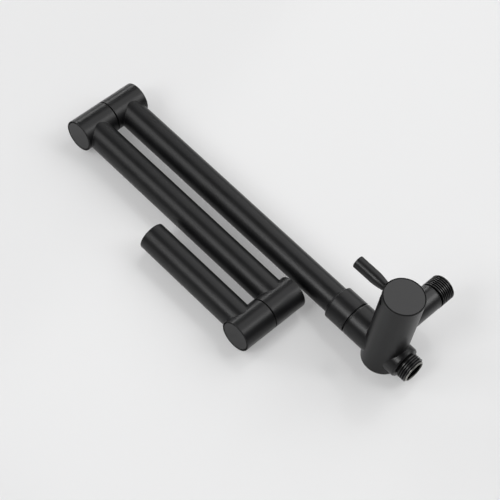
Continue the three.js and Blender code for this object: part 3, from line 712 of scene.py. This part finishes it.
makeSlipRing("elbowSlipRing", "elbow_washer", "second_arm")
makeSlipRing("spoutJointSlipRing", "spout_joint_washer", "spout")
print("slip rings made")

stageSettings = {
    "floorSize": 24,  # m
    "floorGap": 0.3,  # mm below the body
    "paper": ("#ebebec", "#eeeeee"), "fibreScale": 3.0, "fibreDetail": 1.0, "roughness": 0.12, "ior": 1.45,
    "glow": "#ebebeb", "glowShare": 0.3,  # the share of the paper that shows its own white
    "worldStrength": 0.2,
}


def makeFloor():
    # pale paper with faint fibres and a soft sheen, where part of its own white keeps the shadow light
    s = stageSettings
    deselectAll()
    bpy.ops.mesh.primitive_plane_add(size=s["floorSize"], location=(0, 0, (bodyLow.z - s["floorGap"]) * mm))
    floor = bpy.context.object
    floor.name = "studioFloor"
    material = bpy.data.materials.new("paleStudioPaper")
    tree = newTree(material)
    place = addNode(tree, "ShaderNodeTexCoord").outputs["Object"]
    fibre = addNode(tree, "ShaderNodeTexNoise",
                    {"Scale": s["fibreScale"], "Detail": s["fibreDetail"]}, {"Vector": place})
    shades = addNode(tree, "ShaderNodeValToRGB", None, {"Fac": fibre.outputs["Fac"]})
    for element, code in zip(shades.color_ramp.elements, s["paper"]):
        element.color = colour(code)
    shader = addNode(tree, "ShaderNodeBsdfPrincipled",
                     {"Roughness": s["roughness"], "IOR": s["ior"]}, {"Base Color": shades.outputs["Color"]})
    glow = addNode(tree, "ShaderNodeEmission", {"Color": colour(s["glow"]), "Strength": 1})
    rays = addNode(tree, "ShaderNodeLightPath")
    seen = rays.outputs["Is Camera Ray"]
    for kind in ("Is Glossy Ray", "Is Transmission Ray"):  # what reflects or passes light shows it too
        either = addNode(tree, "ShaderNodeMath", {"operation": "MAXIMUM"}, {0: seen, 1: rays.outputs[kind]})
        seen = either.outputs["Value"]
    share = addNode(tree, "ShaderNodeMath", {"operation": "MULTIPLY"}, {0: seen})
    share.inputs[1].default_value = s["glowShare"]
    paper = addNode(tree, "ShaderNodeMixShader", None, {
        "Fac": share.outputs["Value"], 1: shader.outputs["BSDF"], 2: glow.outputs["Emission"],
    })
    addNode(tree, "ShaderNodeOutputMaterial", None, {"Surface": paper.outputs["Shader"]})
    floor.data.materials.append(material)


# Each soft lamp by its direction from the object, in degrees round and up, its distance and size in
# metres, and its brightness, where 1 is a white surface in plain light
lampSettings = {
    "rearSoftbox": {"around": 87, "up": 46, "distance": 3, "size": (3.06, 3.57), "level": 1.33},
    "frontSoftbox": {"around": 223, "up": 38, "distance": 3, "size": (1.18, 2.37), "level": 2.28},
    "leftStrip": {"around": 163, "up": 18, "distance": 3, "size": (4.35, 0.41), "level": 5.52},
    "frontLamp": {"around": 262, "up": 42, "distance": 3, "size": (0.88, 1.12), "level": 8.94},
    "rightStrip": {"around": 46, "up": 42, "distance": 2.99, "size": (0.57, 1.94), "level": 4.75},
}
# The camera by its direction from the target and its roll, in degrees, with the target and the
# distance in metres, and the lens and the sensor in mm
cameraSettings = {
    "around": 34.46, "up": 55.37, "roll": 13.26, "distance": 1.24989,
    "target": (-0.12191, -0.07902, -0.01719), "lens": 120.29, "sensor": 36, "clip": (0.01, 100),
}


def makeLamps():
    target = Vector(cameraSettings["target"])
    for name, lamp in lampSettings.items():
        around, up = math.radians(lamp["around"]), math.radians(lamp["up"])
        direction = Vector((math.cos(around) * math.cos(up), math.sin(around) * math.cos(up), math.sin(up)))
        deselectAll()
        bpy.ops.object.light_add(type="AREA", location=target + direction * lamp["distance"])
        light = bpy.context.object
        light.name = name
        light.rotation_euler = (-direction).to_track_quat("-Z", "Y").to_euler()
        light.data.shape = "RECTANGLE"
        light.data.size, light.data.size_y = lamp["size"]
        light.data.energy = lamp["level"] * math.pi * lamp["size"][0] * lamp["size"][1]


def makeWorld():
    world = bpy.data.worlds.new("studioWorld")
    bpy.context.scene.world = world
    world.use_nodes = True
    back = world.node_tree.nodes["Background"]
    back.inputs["Color"].default_value = (1, 1, 1, 1)
    back.inputs["Strength"].default_value = stageSettings["worldStrength"]


def makeCamera():
    s = cameraSettings
    turn = (
        Matrix.Rotation(math.radians(s["around"]), 4, "Z")
        @ Matrix.Rotation(math.radians(90 - s["up"]), 4, "X")
        @ Matrix.Rotation(math.radians(s["roll"]), 4, "Z")
    )
    deselectAll()
    bpy.ops.object.camera_add()
    camera = bpy.context.object
    camera.name = "photoCamera"
    camera.matrix_world = Matrix.Translation(s["target"]) @ turn @ Matrix.Translation((0, 0, s["distance"]))
    camera.data.lens = s["lens"]
    camera.data.sensor_width = s["sensor"]
    camera.data.clip_start, camera.data.clip_end = s["clip"]
    bpy.context.scene.camera = camera


makeFloor()
makeLamps()
makeWorld()
makeCamera()
bpy.context.scene.view_settings.view_transform = "Standard"
print("stage made")
